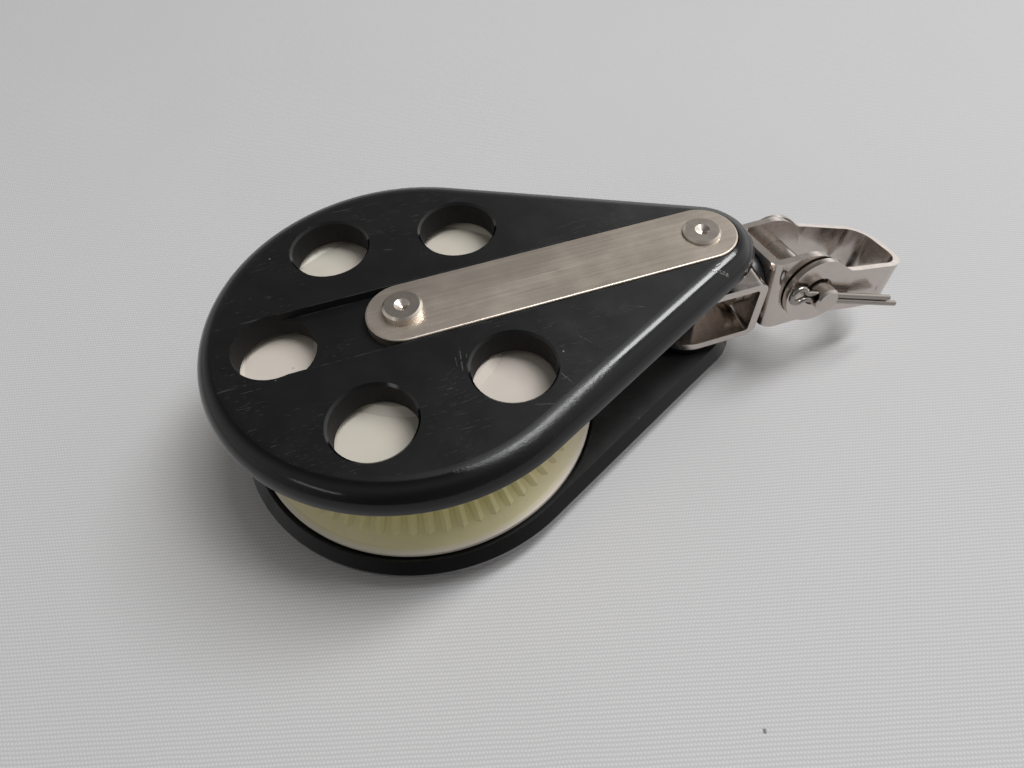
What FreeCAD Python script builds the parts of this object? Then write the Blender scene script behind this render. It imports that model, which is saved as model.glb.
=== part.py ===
"""Ratchet block: a sailing pulley block whose sheave turns freely one way only.

Frame: origin at the middle of the sheave on its axle, +Z along the axle,
+X from the axle to the shackle. The block lies on its lower cheek.
"""
import FreeCAD, Part
import math
import os
import Sketcher

TINY = 1e-4

SIZES = (
    ("half_gap", 8.5, "middle plane to the inner face of a cheek"),
    ("cheek_depth", 5.25, "thickness of a cheek at its rim"),
    ("cheek_radius", 30.5, "outline round the axle"),
    ("head_radius", 8.75, "outline round the head rivet"),
    ("head_reach", 47.5, "axle to head rivet"),
    ("inner_bevel", 1.5, "bevelled inner edge of a cheek"),
    ("edge_land", 0.15, "strip between that bevel and the rounded outer edge"),
    ("recess_clear", 0.5, "gap round the sheave in the recess"),
    ("recess_depth", 1.05, "recess that the sheave edge runs in"),
    ("boss_radius", 6.4, "pad under the head bracket"),
    ("hole_radius", 5.95, "lightening hole"),
    ("hole_margin", 5.55, "cheek edge to a lightening hole"),
    ("hole_front_angle", 50.6, "front pair of holes"),
    ("hole_rear_angle", 115, "rear pair of holes"),
    ("hole_bevel", 0.35, "broken edge of a hole"),
    ("channel_depth", 1.4, "channel for the strap"),
    ("channel_clear", 0.15, "strap edge to channel wall"),
    ("strap_half", 5.6, "half width of a strap"),
    ("strap_wall", 1.6, "thickness of a strap"),
    ("strap_edge", 0.3, "rounded edge of a strap"),
    ("axle_shank", 2, "radius of the axle rivet"),
    ("axle_stand", 1.4, "height of the axle rivet head over the strap"),
    ("head_shank", 1.75, "radius of the head rivet"),
    ("head_stand", 0.7, "height of the head rivet's head over the strap"),
    ("rivet_head", 2.95, "radius of the rivet heads"),
    ("rivet_edge", 0.35, "broken edge of a rivet head"),
    ("dimple_radius", 1.15, "cone sunk in a rivet head"),
    ("dimple_depth", 0.75, "depth of that cone"),
    ("rim_cover", 2.3, "cheek edge to the outside of the sheave"),
    ("sheave_half", 9, "half width of the sheave"),
    ("sheave_edge", 0.45, "rounded edge of the sheave"),
    ("groove_mouth", 7.3, "half width of the groove at its mouth"),
    ("groove_lip", 0.9, "outside of the sheave to the groove's mouth"),
    ("groove_floor", 1.5, "half width of the groove floor"),
    ("groove_depth", 8.7, "outside of the sheave to the groove floor"),
    ("web_dish", 0.9, "hollow in the side of the sheave"),
    ("web_inner", 13.4, "inner edge of that hollow"),
    ("web_land", 3.5, "outside of the sheave to that hollow"),
    ("web_slope", 1.2, "run of its sloping edges"),
    ("rib_count", 64, "ribs round each wall of the groove"),
    ("rib_width", 1.5, "width of a rib at its foot"),
    ("rib_rise", 0.55, "height of a rib over the wall"),
    ("rib_angle", 30, "slope of a rib's sides"),
    ("rib_inset", 2.2, "outside of the sheave to a rib's outer end"),
    ("rib_length", 5.2, "length of a rib along the radius"),
    ("run_clear", 0.05, "radial clearance of a running fit"),
    ("end_play", 0.1, "play of a turning piece along its axis"),
    ("journal_radius", 6, "bearing seat of the ratchet carrier"),
    ("bush_wall", 1.6, "wall of the sheave bush"),
    ("bush_top", 1, "upper end of the bush"),
    ("washer_outer", 9, "outside of the thrust washers"),
    ("hub_radius", 5.5, "end of the ratchet carrier"),
    ("carrier_radius", 9.5, "disc of the ratchet carrier"),
    ("carrier_floor", 1.6, "underside of that disc"),
    ("carrier_top", 7.2, "top of that disc"),
    ("ring_outer", 12.4, "outside of the ratchet ring"),
    ("ring_root", 11.3, "root of its teeth"),
    ("ring_tip", 10.25, "tip of its teeth"),
    ("ring_low", 1.3, "underside of the ratchet ring"),
    ("ring_high", 7.3, "top of the ratchet ring"),
    ("tooth_count", 24, "teeth in the ratchet ring"),
    ("tooth_angle", 13, "angle of the sloping flank"),
    ("cover_low", 7.5, "underside of the hub cover"),
    ("pawl_seat", 6.7, "axle to pawl pin"),
    ("pawl_angle", 46, "pawl pin from the tooth it meets"),
    ("pawl_heel", 1.5, "radius of a pawl round its pin"),
    ("pawl_nose", 0.5, "radius of a pawl's tip"),
    ("pawl_clear", 0.15, "pawl tip to the flanks of its tooth"),
    ("pawl_count", 2, "pawls round the axle"),
    ("pawl_low", 2.8, "underside of a pawl"),
    ("pawl_high", 6.3, "top of a pawl"),
    ("pocket_low", 2.6, "floor of a pawl pocket"),
    ("pocket_clear", 0.4, "pawl heel to pocket wall"),
    ("pocket_nose", 1.7, "radius of the pocket at the pawl's tip"),
    ("pocket_angle", 4, "turn of the pocket towards the axle"),
    ("pawl_pin_radius", 0.75, "pawl pin"),
    ("pawl_pin_low", 1.8, "lower end of a pawl pin"),
    ("pawl_pin_high", 7, "upper end of a pawl pin"),
    ("spring_wire", 0.5, "thickness of a pawl spring"),
    ("spring_reach", 4.4, "length of its arm"),
    ("bracket_half", 6.25, "half height of the head bracket"),
    ("bracket_width", 7.1, "half width of the head bracket"),
    ("bracket_reach", 10.2, "head rivet to the outer face of its base"),
    ("strip_wall", 1.4, "thickness of the bent strips"),
    ("outer_bend", 1.9, "outside of a bend"),
    ("inner_bend", 0.6, "inside of a bend"),
    ("spacer_radius", 2.5, "spacer between the bracket legs"),
    ("post_shank", 2.5, "radius of the swivel post"),
    ("post_head", 3.7, "radius of its heads"),
    ("post_head_wall", 1.4, "thickness of its heads"),
    ("swivel_gap", 1.5, "bracket base to fork base"),
    ("swivel_washer", 5.4, "outside of the swivel washer"),
    ("swivel_angle", 10, "fork turned on its post as it lies"),
    ("fork_half", 6.6, "half width over the fork ears"),
    ("fork_length", 6.6, "fork base to the middle of its round ends"),
    ("fork_radius", 6.5, "rounded end of the fork ears"),
    ("ear_radius", 5.8, "round ears of the shackle"),
    ("pin_offset", 1.6, "middle of those ends to the shackle pin"),
    ("pin_radius", 2.1, "shackle pin"),
    ("pin_front", 11, "length of the pin in front"),
    ("pin_head", 3.3, "radius of the pin's head"),
    ("pin_head_wall", 1.6, "thickness of the pin's head"),
    ("pin_edge", 0.4, "broken edges of the pin"),
    ("shackle_angle", 15, "shackle hangs below the level as it lies"),
    ("shackle_gap", 0.3, "fork ear to shackle ear"),
    ("shackle_wall", 1.1, "thickness of the shackle strip"),
    ("shackle_hole", 2.6, "loose hole for the pin"),
    ("leg_half", 4, "half height of the shackle legs"),
    ("leg_waist", 6, "half width between the shackle legs"),
    ("leg_lead", 0.6, "ear edge to where the legs start to close in"),
    ("leg_bend", 3, "slight bends at both ends of that run"),
    ("crown_lead", 0.4, "straight run from there to the crown's bend"),
    ("neck_round", 2, "blend from ear to leg"),
    ("crown_reach", 18.9, "pin to the outside of the crown"),
    ("crown_bend", 5, "outside of the crown's bends"),
    ("cotter_place", 9.6, "middle plane to the split pin"),
    ("cotter_angle", 20, "split pin hangs below the level"),
    ("cotter_wire", 0.5, "wire radius of the split pin"),
    ("cotter_gap", 0.03, "half gap between its legs"),
    ("cotter_clear", 0.05, "split pin to the wall of its hole"),
    ("cotter_eye", 1.3, "radius of its eye"),
    ("cotter_eye_reach", 5.3, "pin to the middle of the eye"),
    ("cotter_neck", 1.4, "bend between eye and legs"),
    ("cotter_long", 16.7, "length of its long leg"),
    ("cotter_short", 14.5, "length of its short leg"),
)

SHEAVE = "(Sizes.cheek_radius - Sizes.rim_cover)"
HOLE_RING = "(Sizes.cheek_radius - Sizes.hole_margin - Sizes.hole_radius)"
BRACKET_BASE = "(Sizes.head_reach + Sizes.bracket_reach)"
FORK_BASE = "(%s + Sizes.swivel_gap)" % BRACKET_BASE
FORK_NOSE = "(%s + Sizes.fork_length)" % FORK_BASE
PIN_PLACE = "(%s + Sizes.pin_offset)" % FORK_NOSE

doc = FreeCAD.newDocument("RatchetBlock")
sub_parts = []


def fill_sheet():
    sheet = doc.addObject("Spreadsheet::Sheet", "Sizes")
    for row, (alias, value, note) in enumerate(SIZES, 1):
        sheet.set("A%d" % row, note)
        sheet.set("B%d" % row, str(value))
        sheet.setAlias("B%d" % row, alias)
    doc.recompute()


def new_body(name, placement=None):
    body = doc.addObject("PartDesign::Body", name)
    body.Label = name
    if placement:
        body.setExpression("Placement", placement)
    sub_parts.append(body)
    return body


def turn_about(axis, angle):
    return "create(<<rotation>>; create(<<vector>>; %s); %s)" % (axis, angle)


def placed(across, *turns):
    return "create(<<placement>>; create(<<vector>>; %s); %s)" % (across, " * ".join(turns))


def sketch_on(body, role, level=None):
    sketch = body.newObject("Sketcher::SketchObject", body.Name + "_sketch")
    for plane in body.Origin.OriginFeatures:
        if plane.Role == role:
            sketch.AttachmentSupport = [(plane, "")]
    sketch.MapMode = "FlatFace"
    if level:
        sketch.setExpression(".AttachmentOffset.Base.z", level)
    return sketch


def bind(sketch, kind, text, *places):
    """One driving dimension of the sketch, tied to the sheet."""
    index = sketch.addConstraint(Sketcher.Constraint(kind, *places, sketch.evalExpression(text)))
    sketch.setExpression("Constraints[%d]" % index, text)


def hold(sketch, curve, point, across, up):
    """Keep one point of a curve at a place measured from the sketch's origin."""
    bind(sketch, "DistanceX", across, -1, 1, curve, point)
    bind(sketch, "DistanceY", up, -1, 1, curve, point)


def spot(sketch, across, up):
    return FreeCAD.Vector(sketch.evalExpression(across), sketch.evalExpression(up), 0)


def polygon(sketch, corners):
    first = sketch.GeometryCount
    count = len(corners)
    spots = [spot(sketch, *corner) for corner in corners]
    for index in range(count):
        sketch.addGeometry(Part.LineSegment(spots[index], spots[(index + 1) % count]))
    for index in range(count):
        follower = first + (index + 1) % count
        sketch.addConstraint(Sketcher.Constraint("Coincident", first + index, 2, follower, 1))
        hold(sketch, first + index, 1, *corners[index])


def circle(sketch, across, up, radius):
    centre = spot(sketch, across, up)
    shape = Part.Circle(centre, FreeCAD.Vector(0, 0, 1), sketch.evalExpression(radius))
    curve = sketch.addGeometry(shape)
    hold(sketch, curve, 3, across, up)
    bind(sketch, "Radius", radius, curve)


def arc(centre, radius, start, stop):
    return Part.ArcOfCircle(Part.Circle(centre, FreeCAD.Vector(0, 0, 1), radius), start, stop)


def belt(sketch, rear, front, rear_radius, front_radius):
    """Outline of two circles on the first axis, joined by their common tangents."""
    rear_spot = spot(sketch, rear, "0")
    front_spot = spot(sketch, front, "0")
    large = sketch.evalExpression(rear_radius)
    small = sketch.evalExpression(front_radius)
    lean = math.acos((large - small) / (front_spot.x - rear_spot.x))
    tail = arc(rear_spot, large, lean, 2 * math.pi - lean)
    nose = arc(front_spot, small, -lean, lean)
    first = sketch.GeometryCount
    sketch.addGeometry(tail)
    sketch.addGeometry(Part.LineSegment(tail.EndPoint, nose.StartPoint))
    sketch.addGeometry(nose)
    sketch.addGeometry(Part.LineSegment(nose.EndPoint, tail.StartPoint))
    for index in range(4):
        follower = first + (index + 1) % 4
        sketch.addConstraint(Sketcher.Constraint("Tangent", first + index, 2, follower, 1))
    hold(sketch, first, 3, rear, "0")
    hold(sketch, first + 2, 3, front, "0")
    bind(sketch, "Radius", rear_radius, first)
    bind(sketch, "Radius", front_radius, first + 2)


def tongue(sketch, centre, butt, radius):
    """Strip outline: round about the centre at one end, square at the butt."""
    middle = spot(sketch, centre, "0")
    half = sketch.evalExpression(radius)
    square = sketch.evalExpression(butt)
    towards = math.copysign(1, middle.x - square)
    start = -towards * math.pi / 2
    end = arc(middle, half, start, start + math.pi)
    low = FreeCAD.Vector(square, end.StartPoint.y, 0)
    high = FreeCAD.Vector(square, end.EndPoint.y, 0)
    first = sketch.GeometryCount
    sketch.addGeometry(end)
    sketch.addGeometry(Part.LineSegment(end.EndPoint, high))
    sketch.addGeometry(Part.LineSegment(high, low))
    sketch.addGeometry(Part.LineSegment(low, end.StartPoint))
    sketch.addConstraint(Sketcher.Constraint("Tangent", first, 2, first + 1, 1))
    sketch.addConstraint(Sketcher.Constraint("Coincident", first + 1, 2, first + 2, 1))
    sketch.addConstraint(Sketcher.Constraint("Coincident", first + 2, 2, first + 3, 1))
    sketch.addConstraint(Sketcher.Constraint("Tangent", first + 3, 2, first, 1))
    sketch.addConstraint(Sketcher.Constraint("Horizontal", first + 1))
    sketch.addConstraint(Sketcher.Constraint("Vertical", first + 2))
    sketch.addConstraint(Sketcher.Constraint("Horizontal", first + 3))
    hold(sketch, first, 3, centre, "0")
    bind(sketch, "Radius", radius, first)
    bind(sketch, "DistanceX", butt, -1, 1, first + 2, 1)


def extrude(body, kind, sketch, length, both_ways=False, against=False):
    feature = body.newObject(kind, body.Name + "_" + kind.split("::")[1].lower())
    feature.Profile = sketch
    if both_ways:
        feature.SideType = "Symmetric"
    feature.Reversed = against
    feature.setExpression("Length", length)
    sketch.Visibility = False
    return feature


def pad(body, sketch, length, **ways):
    return extrude(body, "PartDesign::Pad", sketch, length, **ways)


def pocket(body, sketch, length, **ways):
    return extrude(body, "PartDesign::Pocket", sketch, length, **ways)


def ring_of(body, feature, role, count):
    """Repeat a feature evenly round one of the body's axes."""
    pattern = body.newObject("PartDesign::PolarPattern", body.Name + "_pattern")
    pattern.Originals = [feature]
    for axis in body.Origin.OriginFeatures:
        if axis.Role == role:
            pattern.Axis = (axis, [""])
    pattern.Angle = 360
    pattern.setExpression("Occurrences", count)
    body.Tip = pattern
    return pattern


def dress(body, kind, base, chosen, size):
    """Round or bevel those edges of the last feature that the test picks."""
    doc.recompute()
    names = ["Edge%d" % (index + 1) for index, edge in enumerate(base.Shape.Edges) if chosen(edge)]
    feature = body.newObject("PartDesign::" + kind, body.Name + "_" + kind.lower())
    feature.Base = (base, names)
    feature.setExpression("Radius" if kind == "Fillet" else "Size", size)
    return feature


def on_level(edge, axis, level):
    box = edge.BoundBox
    low = getattr(box, axis + "Min")
    high = getattr(box, axis + "Max")
    return abs(low - level) < TINY and abs(high - level) < TINY


def size(name):
    return float(doc.Sizes.get(name))


def turned(name, corners, placement=None):
    """A piece turned on the lathe: radius and height of each corner."""
    body = new_body(name, placement)
    profile = sketch_on(body, "XZ_Plane")
    polygon(profile, corners)
    shape = body.newObject("PartDesign::Revolution", name + "_turned")
    shape.Profile = profile
    shape.ReferenceAxis = (profile, ["V_Axis"])
    shape.Angle = 360
    return body


def collar(name, inner, outer, low, high, placement=None):
    return turned(name, ((inner, low), (outer, low), (outer, high), (inner, high)), placement)


def cheek(name, placement=None):
    """Teardrop side plate: rounded edge, sheave recess, strap channel and holes."""
    body = new_body(name, placement)
    outline = sketch_on(body, "XY_Plane", "Sizes.half_gap")
    belt(outline, "0", "Sizes.head_reach", "Sizes.cheek_radius", "Sizes.head_radius")
    plate = pad(body, outline, "Sizes.cheek_depth")
    outer_face = size("half_gap") + size("cheek_depth")
    curve = "Sizes.cheek_depth - Sizes.inner_bevel - Sizes.edge_land"
    rounded = dress(body, "Fillet", plate, lambda edge: on_level(edge, "Z", outer_face), curve)
    inner_face = size("half_gap")
    dress(body, "Chamfer", rounded, lambda edge: on_level(edge, "Z", inner_face), "Sizes.inner_bevel")
    boss = sketch_on(body, "XY_Plane", "Sizes.bracket_half")
    circle(boss, "Sizes.head_reach", "0", "Sizes.boss_radius")
    pad(body, boss, "Sizes.half_gap - Sizes.bracket_half")
    recess = sketch_on(body, "XY_Plane", "Sizes.half_gap")
    circle(recess, "0", "0", SHEAVE + " + Sizes.recess_clear")
    pocket(body, recess, "Sizes.recess_depth", against=True)
    channel = sketch_on(body, "XY_Plane", "Sizes.half_gap + Sizes.cheek_depth")
    width = "Sizes.strap_half + Sizes.channel_clear"
    belt(channel, "-" + HOLE_RING, "Sizes.head_reach", width, width)
    pocket(body, channel, "Sizes.channel_depth")
    holes = sketch_on(body, "XY_Plane", "Sizes.half_gap + Sizes.cheek_depth")
    circle(holes, "0", "0", "Sizes.axle_shank")
    circle(holes, "Sizes.head_reach", "0", "Sizes.head_shank")
    circle(holes, "-" + HOLE_RING, "0", "Sizes.hole_radius")
    for angle in ("Sizes.hole_front_angle", "Sizes.hole_rear_angle"):
        for side in ("", "-"):
            across = "%s * cos(%s)" % (HOLE_RING, angle)
            up = "%s%s * sin(%s)" % (side, HOLE_RING, angle)
            circle(holes, across, up, "Sizes.hole_radius")
    drilled = pocket(body, holes, "Sizes.half_gap + Sizes.cheek_depth")

    def hole_rim(edge):
        round_edge = isinstance(edge.Curve, Part.Circle)
        return round_edge and edge.isClosed() and on_level(edge, "Z", outer_face)
    dress(body, "Chamfer", drilled, hole_rim, "Sizes.hole_bevel")


def strap(name, placement=None):
    """Strip of the load path, from the axle rivet to the head rivet."""
    body = new_body(name, placement)
    outline = sketch_on(body, "XY_Plane", "Sizes.half_gap + Sizes.cheek_depth - Sizes.channel_depth")
    belt(outline, "0", "Sizes.head_reach", "Sizes.strap_half", "Sizes.strap_half")
    circle(outline, "0", "0", "Sizes.axle_shank")
    circle(outline, "Sizes.head_reach", "0", "Sizes.head_shank")
    plate = pad(body, outline, "Sizes.strap_wall")
    top = size("half_gap") + size("cheek_depth") - size("channel_depth") + size("strap_wall")

    def outer_edge(edge):
        return on_level(edge, "Z", top) and edge.BoundBox.DiagonalLength > 3 * size("strap_half") / 2
    dress(body, "Fillet", plate, outer_edge, "Sizes.strap_edge")


def rivet(name, shank, stand, placement=None):
    """Rivet through both cheeks, with a dimpled head on each strap."""
    seat = "(Sizes.half_gap + Sizes.cheek_depth - Sizes.channel_depth + Sizes.strap_wall)"
    top = "(%s + %s)" % (seat, stand)
    edge_low = top + " - Sizes.rivet_edge"
    edge_in = "Sizes.rivet_head - Sizes.rivet_edge"
    upper = (
        (shank, seat),
        ("Sizes.rivet_head", seat),
        ("Sizes.rivet_head", edge_low),
        (edge_in, top),
        ("Sizes.dimple_radius", top),
        ("0", top + " - Sizes.dimple_depth"),
    )
    lower = tuple((radius, "-(%s)" % height) for radius, height in reversed(upper))
    turned(name, lower + upper, placement)


def sheave():
    """Grooved wheel: dished sides, a vee groove and gripping ribs on its walls."""
    body = new_body("sheave")
    bore = "Sizes.journal_radius + Sizes.run_clear + Sizes.bush_wall"
    dish = "(Sizes.sheave_half - Sizes.web_dish)"
    rim = SHEAVE + " - Sizes.sheave_edge"
    mouth = SHEAVE + " - Sizes.groove_lip"
    bottom = "(%s - Sizes.groove_depth)" % SHEAVE
    hollow = SHEAVE + " - Sizes.web_land"
    shoulder = "Sizes.sheave_half - Sizes.sheave_edge"
    side = (
        ("Sizes.web_inner", "Sizes.sheave_half"),
        ("Sizes.web_inner + Sizes.web_slope", dish),
        (hollow, dish),
        (hollow + " + Sizes.web_slope", "Sizes.sheave_half"),
        (rim, "Sizes.sheave_half"),
        (SHEAVE, shoulder),
        (SHEAVE, "Sizes.groove_mouth + Sizes.sheave_edge"),
        (mouth, "Sizes.groove_mouth"),
        (bottom, "Sizes.groove_floor"),
    )
    lower = tuple((radius, "-(%s)" % height) for radius, height in side)
    hub = (
        ("Sizes.ring_outer", "Sizes.sheave_half"),
        ("Sizes.ring_outer", "Sizes.ring_low"),
        (bore, "Sizes.ring_low"),
        (bore, "-Sizes.sheave_half"),
    )
    profile = sketch_on(body, "XZ_Plane")
    polygon(profile, lower + tuple(reversed(side)) + hub)
    wheel = body.newObject("PartDesign::Revolution", "sheave_turned")
    wheel.Profile = profile
    wheel.ReferenceAxis = (profile, ["V_Axis"])
    wheel.Angle = 360
    slope = "(Sizes.groove_mouth - Sizes.groove_floor) / (Sizes.groove_depth - Sizes.groove_lip)"
    wall = "(Sizes.groove_floor + (%s - " + bottom + ") * " + slope + ")"
    end = "(%s - Sizes.rib_inset)" % SHEAVE
    start = "(%s - Sizes.rib_length)" % end
    inner = wall % start
    outer = wall % end
    ribs = sketch_on(body, "XZ_Plane")
    for sign in ("", "-"):
        polygon(ribs, (
            (start, sign + inner),
            (start + " + Sizes.rib_rise", "%s(%s - Sizes.rib_rise)" % (sign, inner)),
            (end, "%s(%s - Sizes.rib_rise)" % (sign, outer)),
            (end, "%s(%s + 2 * Sizes.rib_rise)" % (sign, outer)),
            (start, "%s(%s + 2 * Sizes.rib_rise)" % (sign, inner)),
        ))
    rib = pad(body, ribs, "Sizes.rib_width", both_ways=True)
    rib.setExpression("TaperAngle", "-Sizes.rib_angle")
    ring_of(body, rib, "Z_Axis", "Sizes.rib_count")


def ratchet_ring():
    """Ring of saw teeth, pressed into the hub of the sheave."""
    body = new_body("ratchet_ring")
    blank = sketch_on(body, "XY_Plane", "Sizes.ring_low")
    circle(blank, "0", "0", "Sizes.ring_outer")
    circle(blank, "0", "0", "Sizes.ring_tip")
    pad(body, blank, "Sizes.ring_high - Sizes.ring_low")
    notch = sketch_on(body, "XY_Plane", "Sizes.ring_high")
    inside = "(Sizes.ring_tip - Sizes.ring_root / 10)"
    polygon(notch, (
        (inside, "0"),
        ("Sizes.ring_root", "0"),
        ("Sizes.ring_tip * cos(Sizes.tooth_angle)", "Sizes.ring_tip * sin(Sizes.tooth_angle)"),
        (inside + " * cos(Sizes.tooth_angle)", inside + " * sin(Sizes.tooth_angle)"),
    ))
    cut = pocket(body, notch, "Sizes.ring_high - Sizes.ring_low")
    ring_of(body, cut, "Z_Axis", "Sizes.tooth_count")


def pawl_tip():
    """Centre of a pawl's round tip, just clear of the tooth's two flanks."""
    return "(Sizes.ring_tip - Sizes.run_clear)", "(Sizes.pawl_nose + Sizes.pawl_clear)"


def pawl_pin_spot():
    return "(Sizes.pawl_seat * cos(Sizes.pawl_angle))", "(Sizes.pawl_seat * sin(Sizes.pawl_angle))"


def pawl_length():
    run = "(%s - %s)" % (pawl_tip()[0], pawl_pin_spot()[0])
    rise = "(%s - %s)" % (pawl_tip()[1], pawl_pin_spot()[1])
    return "sqrt(%s ^ 2 + %s ^ 2)" % (run, rise)


def pawl_heading():
    run = "(%s - %s)" % (pawl_tip()[0], pawl_pin_spot()[0])
    rise = "(%s - %s)" % (pawl_tip()[1], pawl_pin_spot()[1])
    return "atan(%s / %s)" % (rise, run)


def pawl_frame(turn):
    """Origin on the pawl pin, first axis towards the tip, turned round the axle."""
    middle = placed("0; 0; 0", turn_about("0; 0; 1", turn))
    seat = placed("%s; %s; 0" % pawl_pin_spot(), turn_about("0; 0; 1", pawl_heading()))
    return "%s * %s" % (middle, seat)


def ratchet_carrier():
    """Fixed hub clamped between the cheeks, with a pocket for each pawl."""
    end = "(Sizes.half_gap + Sizes.recess_depth)"
    body = turned("ratchet_carrier", (
        ("Sizes.axle_shank", "-" + end),
        ("Sizes.journal_radius", "-" + end),
        ("Sizes.journal_radius", "Sizes.carrier_floor"),
        ("Sizes.carrier_radius", "Sizes.carrier_floor"),
        ("Sizes.carrier_radius", "Sizes.carrier_top"),
        ("Sizes.hub_radius", "Sizes.carrier_top"),
        ("Sizes.hub_radius", end),
        ("Sizes.axle_shank", end),
    ))
    space = sketch_on(body, "XY_Plane")
    lean = turn_about("0; 0; 1", pawl_heading() + " - Sizes.pocket_angle * 1 deg")
    space.setExpression("AttachmentOffset", placed("%s; %s; Sizes.carrier_top" % pawl_pin_spot(), lean))
    belt(space, "0", pawl_length(), "Sizes.pawl_heel + Sizes.pocket_clear", "Sizes.pocket_nose")
    cut = pocket(body, space, "Sizes.carrier_top - Sizes.pocket_low")
    ring_of(body, cut, "Z_Axis", "Sizes.pawl_count")
    seat = sketch_on(body, "XY_Plane", "Sizes.carrier_top")
    circle(seat, *pawl_pin_spot(), "Sizes.pawl_pin_radius")
    bore = pocket(body, seat, "Sizes.carrier_top - Sizes.pawl_pin_low")
    ring_of(body, bore, "Z_Axis", "Sizes.pawl_count")


def pawl(name, turn):
    """Catch that swings out into the teeth, with its pin and hairpin spring."""
    body = new_body("pawl_" + name, pawl_frame(turn))
    outline = sketch_on(body, "XY_Plane", "Sizes.pawl_low")
    belt(outline, "0", pawl_length(), "Sizes.pawl_heel", "Sizes.pawl_nose")
    circle(outline, "0", "0", "Sizes.pawl_pin_radius + Sizes.run_clear")
    pad(body, outline, "Sizes.pawl_high - Sizes.pawl_low")
    low = "Sizes.pawl_pin_low"
    pin_radius = "Sizes.pawl_pin_radius"
    turned("pawl_pin_" + name, (
        ("0", low),
        (pin_radius, low),
        (pin_radius, "Sizes.pawl_pin_high"),
        ("0", "Sizes.pawl_pin_high"),
    ), pawl_frame(turn))
    spring = new_body("pawl_spring_" + name, pawl_frame(turn))
    arm = sketch_on(spring, "XY_Plane", "Sizes.pawl_high")
    belt(arm, "Sizes.pawl_pin_radius + Sizes.spring_wire", "Sizes.spring_reach",
         "Sizes.spring_wire / 2", "Sizes.spring_wire / 2")
    pad(spring, arm, "Sizes.spring_wire")
    coil = sketch_on(spring, "XY_Plane", "Sizes.pawl_high")
    inside = "Sizes.pawl_pin_radius + 2 * Sizes.run_clear"
    circle(coil, "0", "0", inside)
    circle(coil, "0", "0", inside + " + Sizes.spring_wire")
    pad(spring, coil, "Sizes.spring_wire")


def clevis(name, nose, butt, half_width, half_height, side, bore, post_bore, placement=None):
    """Strip bent to a U: ears rounded about the nose, base pierced for the swivel post."""
    body = new_body(name, placement)
    plan = sketch_on(body, "XY_Plane")
    tongue(plan, nose, butt, half_width)
    pad(body, plan, "2 * " + half_height, both_ways=True)
    inside = "%s %s Sizes.strip_wall" % (butt, side)
    gap = "(%s - Sizes.strip_wall)" % half_height
    mouth = "%s %s 2 * %s" % (nose, side, half_width)
    window = sketch_on(body, "XZ_Plane")
    polygon(window, ((inside, "-" + gap), (mouth, "-" + gap), (mouth, gap), (inside, gap)))
    opened = pocket(body, window, "3 * " + half_width, both_ways=True)
    doc.recompute()
    base_x = window.evalExpression(butt)
    inner_x = window.evalExpression(inside)
    high = window.evalExpression(half_height)

    def outer_corner(edge):
        return on_level(edge, "X", base_x) and on_level(edge, "Z", math.copysign(high, edge.BoundBox.ZMax))

    def inner_corner(edge):
        return on_level(edge, "X", inner_x) and edge.BoundBox.YLength > high
    bent = dress(body, "Fillet", opened, outer_corner, "Sizes.outer_bend")
    dress(body, "Fillet", bent, inner_corner, "Sizes.inner_bend")
    ear = sketch_on(body, "XY_Plane")
    circle(ear, bore[0], "0", bore[1])
    pocket(body, ear, "3 * " + half_height, both_ways=True)
    base = sketch_on(body, "YZ_Plane", butt)
    circle(base, "0", "0", post_bore)
    pocket(body, base, "3 * Sizes.strip_wall", both_ways=True)


def swivel():
    """Post and washer that let the fork turn on the head bracket."""
    along = placed("0; 0; 0", turn_about("0; 1; 0", "90"))
    inside = "(%s - Sizes.strip_wall - Sizes.end_play)" % BRACKET_BASE
    seat = "(%s + Sizes.strip_wall)" % FORK_BASE
    shank = "Sizes.post_shank"
    turned("swivel_post", (
        ("0", inside + " - Sizes.post_head_wall"),
        ("Sizes.post_head", inside + " - Sizes.post_head_wall"),
        ("Sizes.post_head", inside),
        (shank, inside),
        (shank, seat),
        ("Sizes.post_head", seat),
        ("Sizes.post_head", seat + " + Sizes.post_head_wall"),
        ("0", seat + " + Sizes.post_head_wall"),
    ), along)
    high = FORK_BASE + " - Sizes.end_play"
    collar("swivel_washer", "Sizes.post_shank + Sizes.run_clear", "Sizes.swivel_washer",
           BRACKET_BASE, high, along)


def fork_turn():
    return turn_about("1; 0; 0", "90 - Sizes.swivel_angle")


def pin_frame(droop):
    """Origin on the shackle pin, third axis along it, first axis hanging down by the droop."""
    return placed(PIN_PLACE + "; 0; 0", fork_turn(), turn_about("0; 0; 1", "-" + droop))


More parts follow.
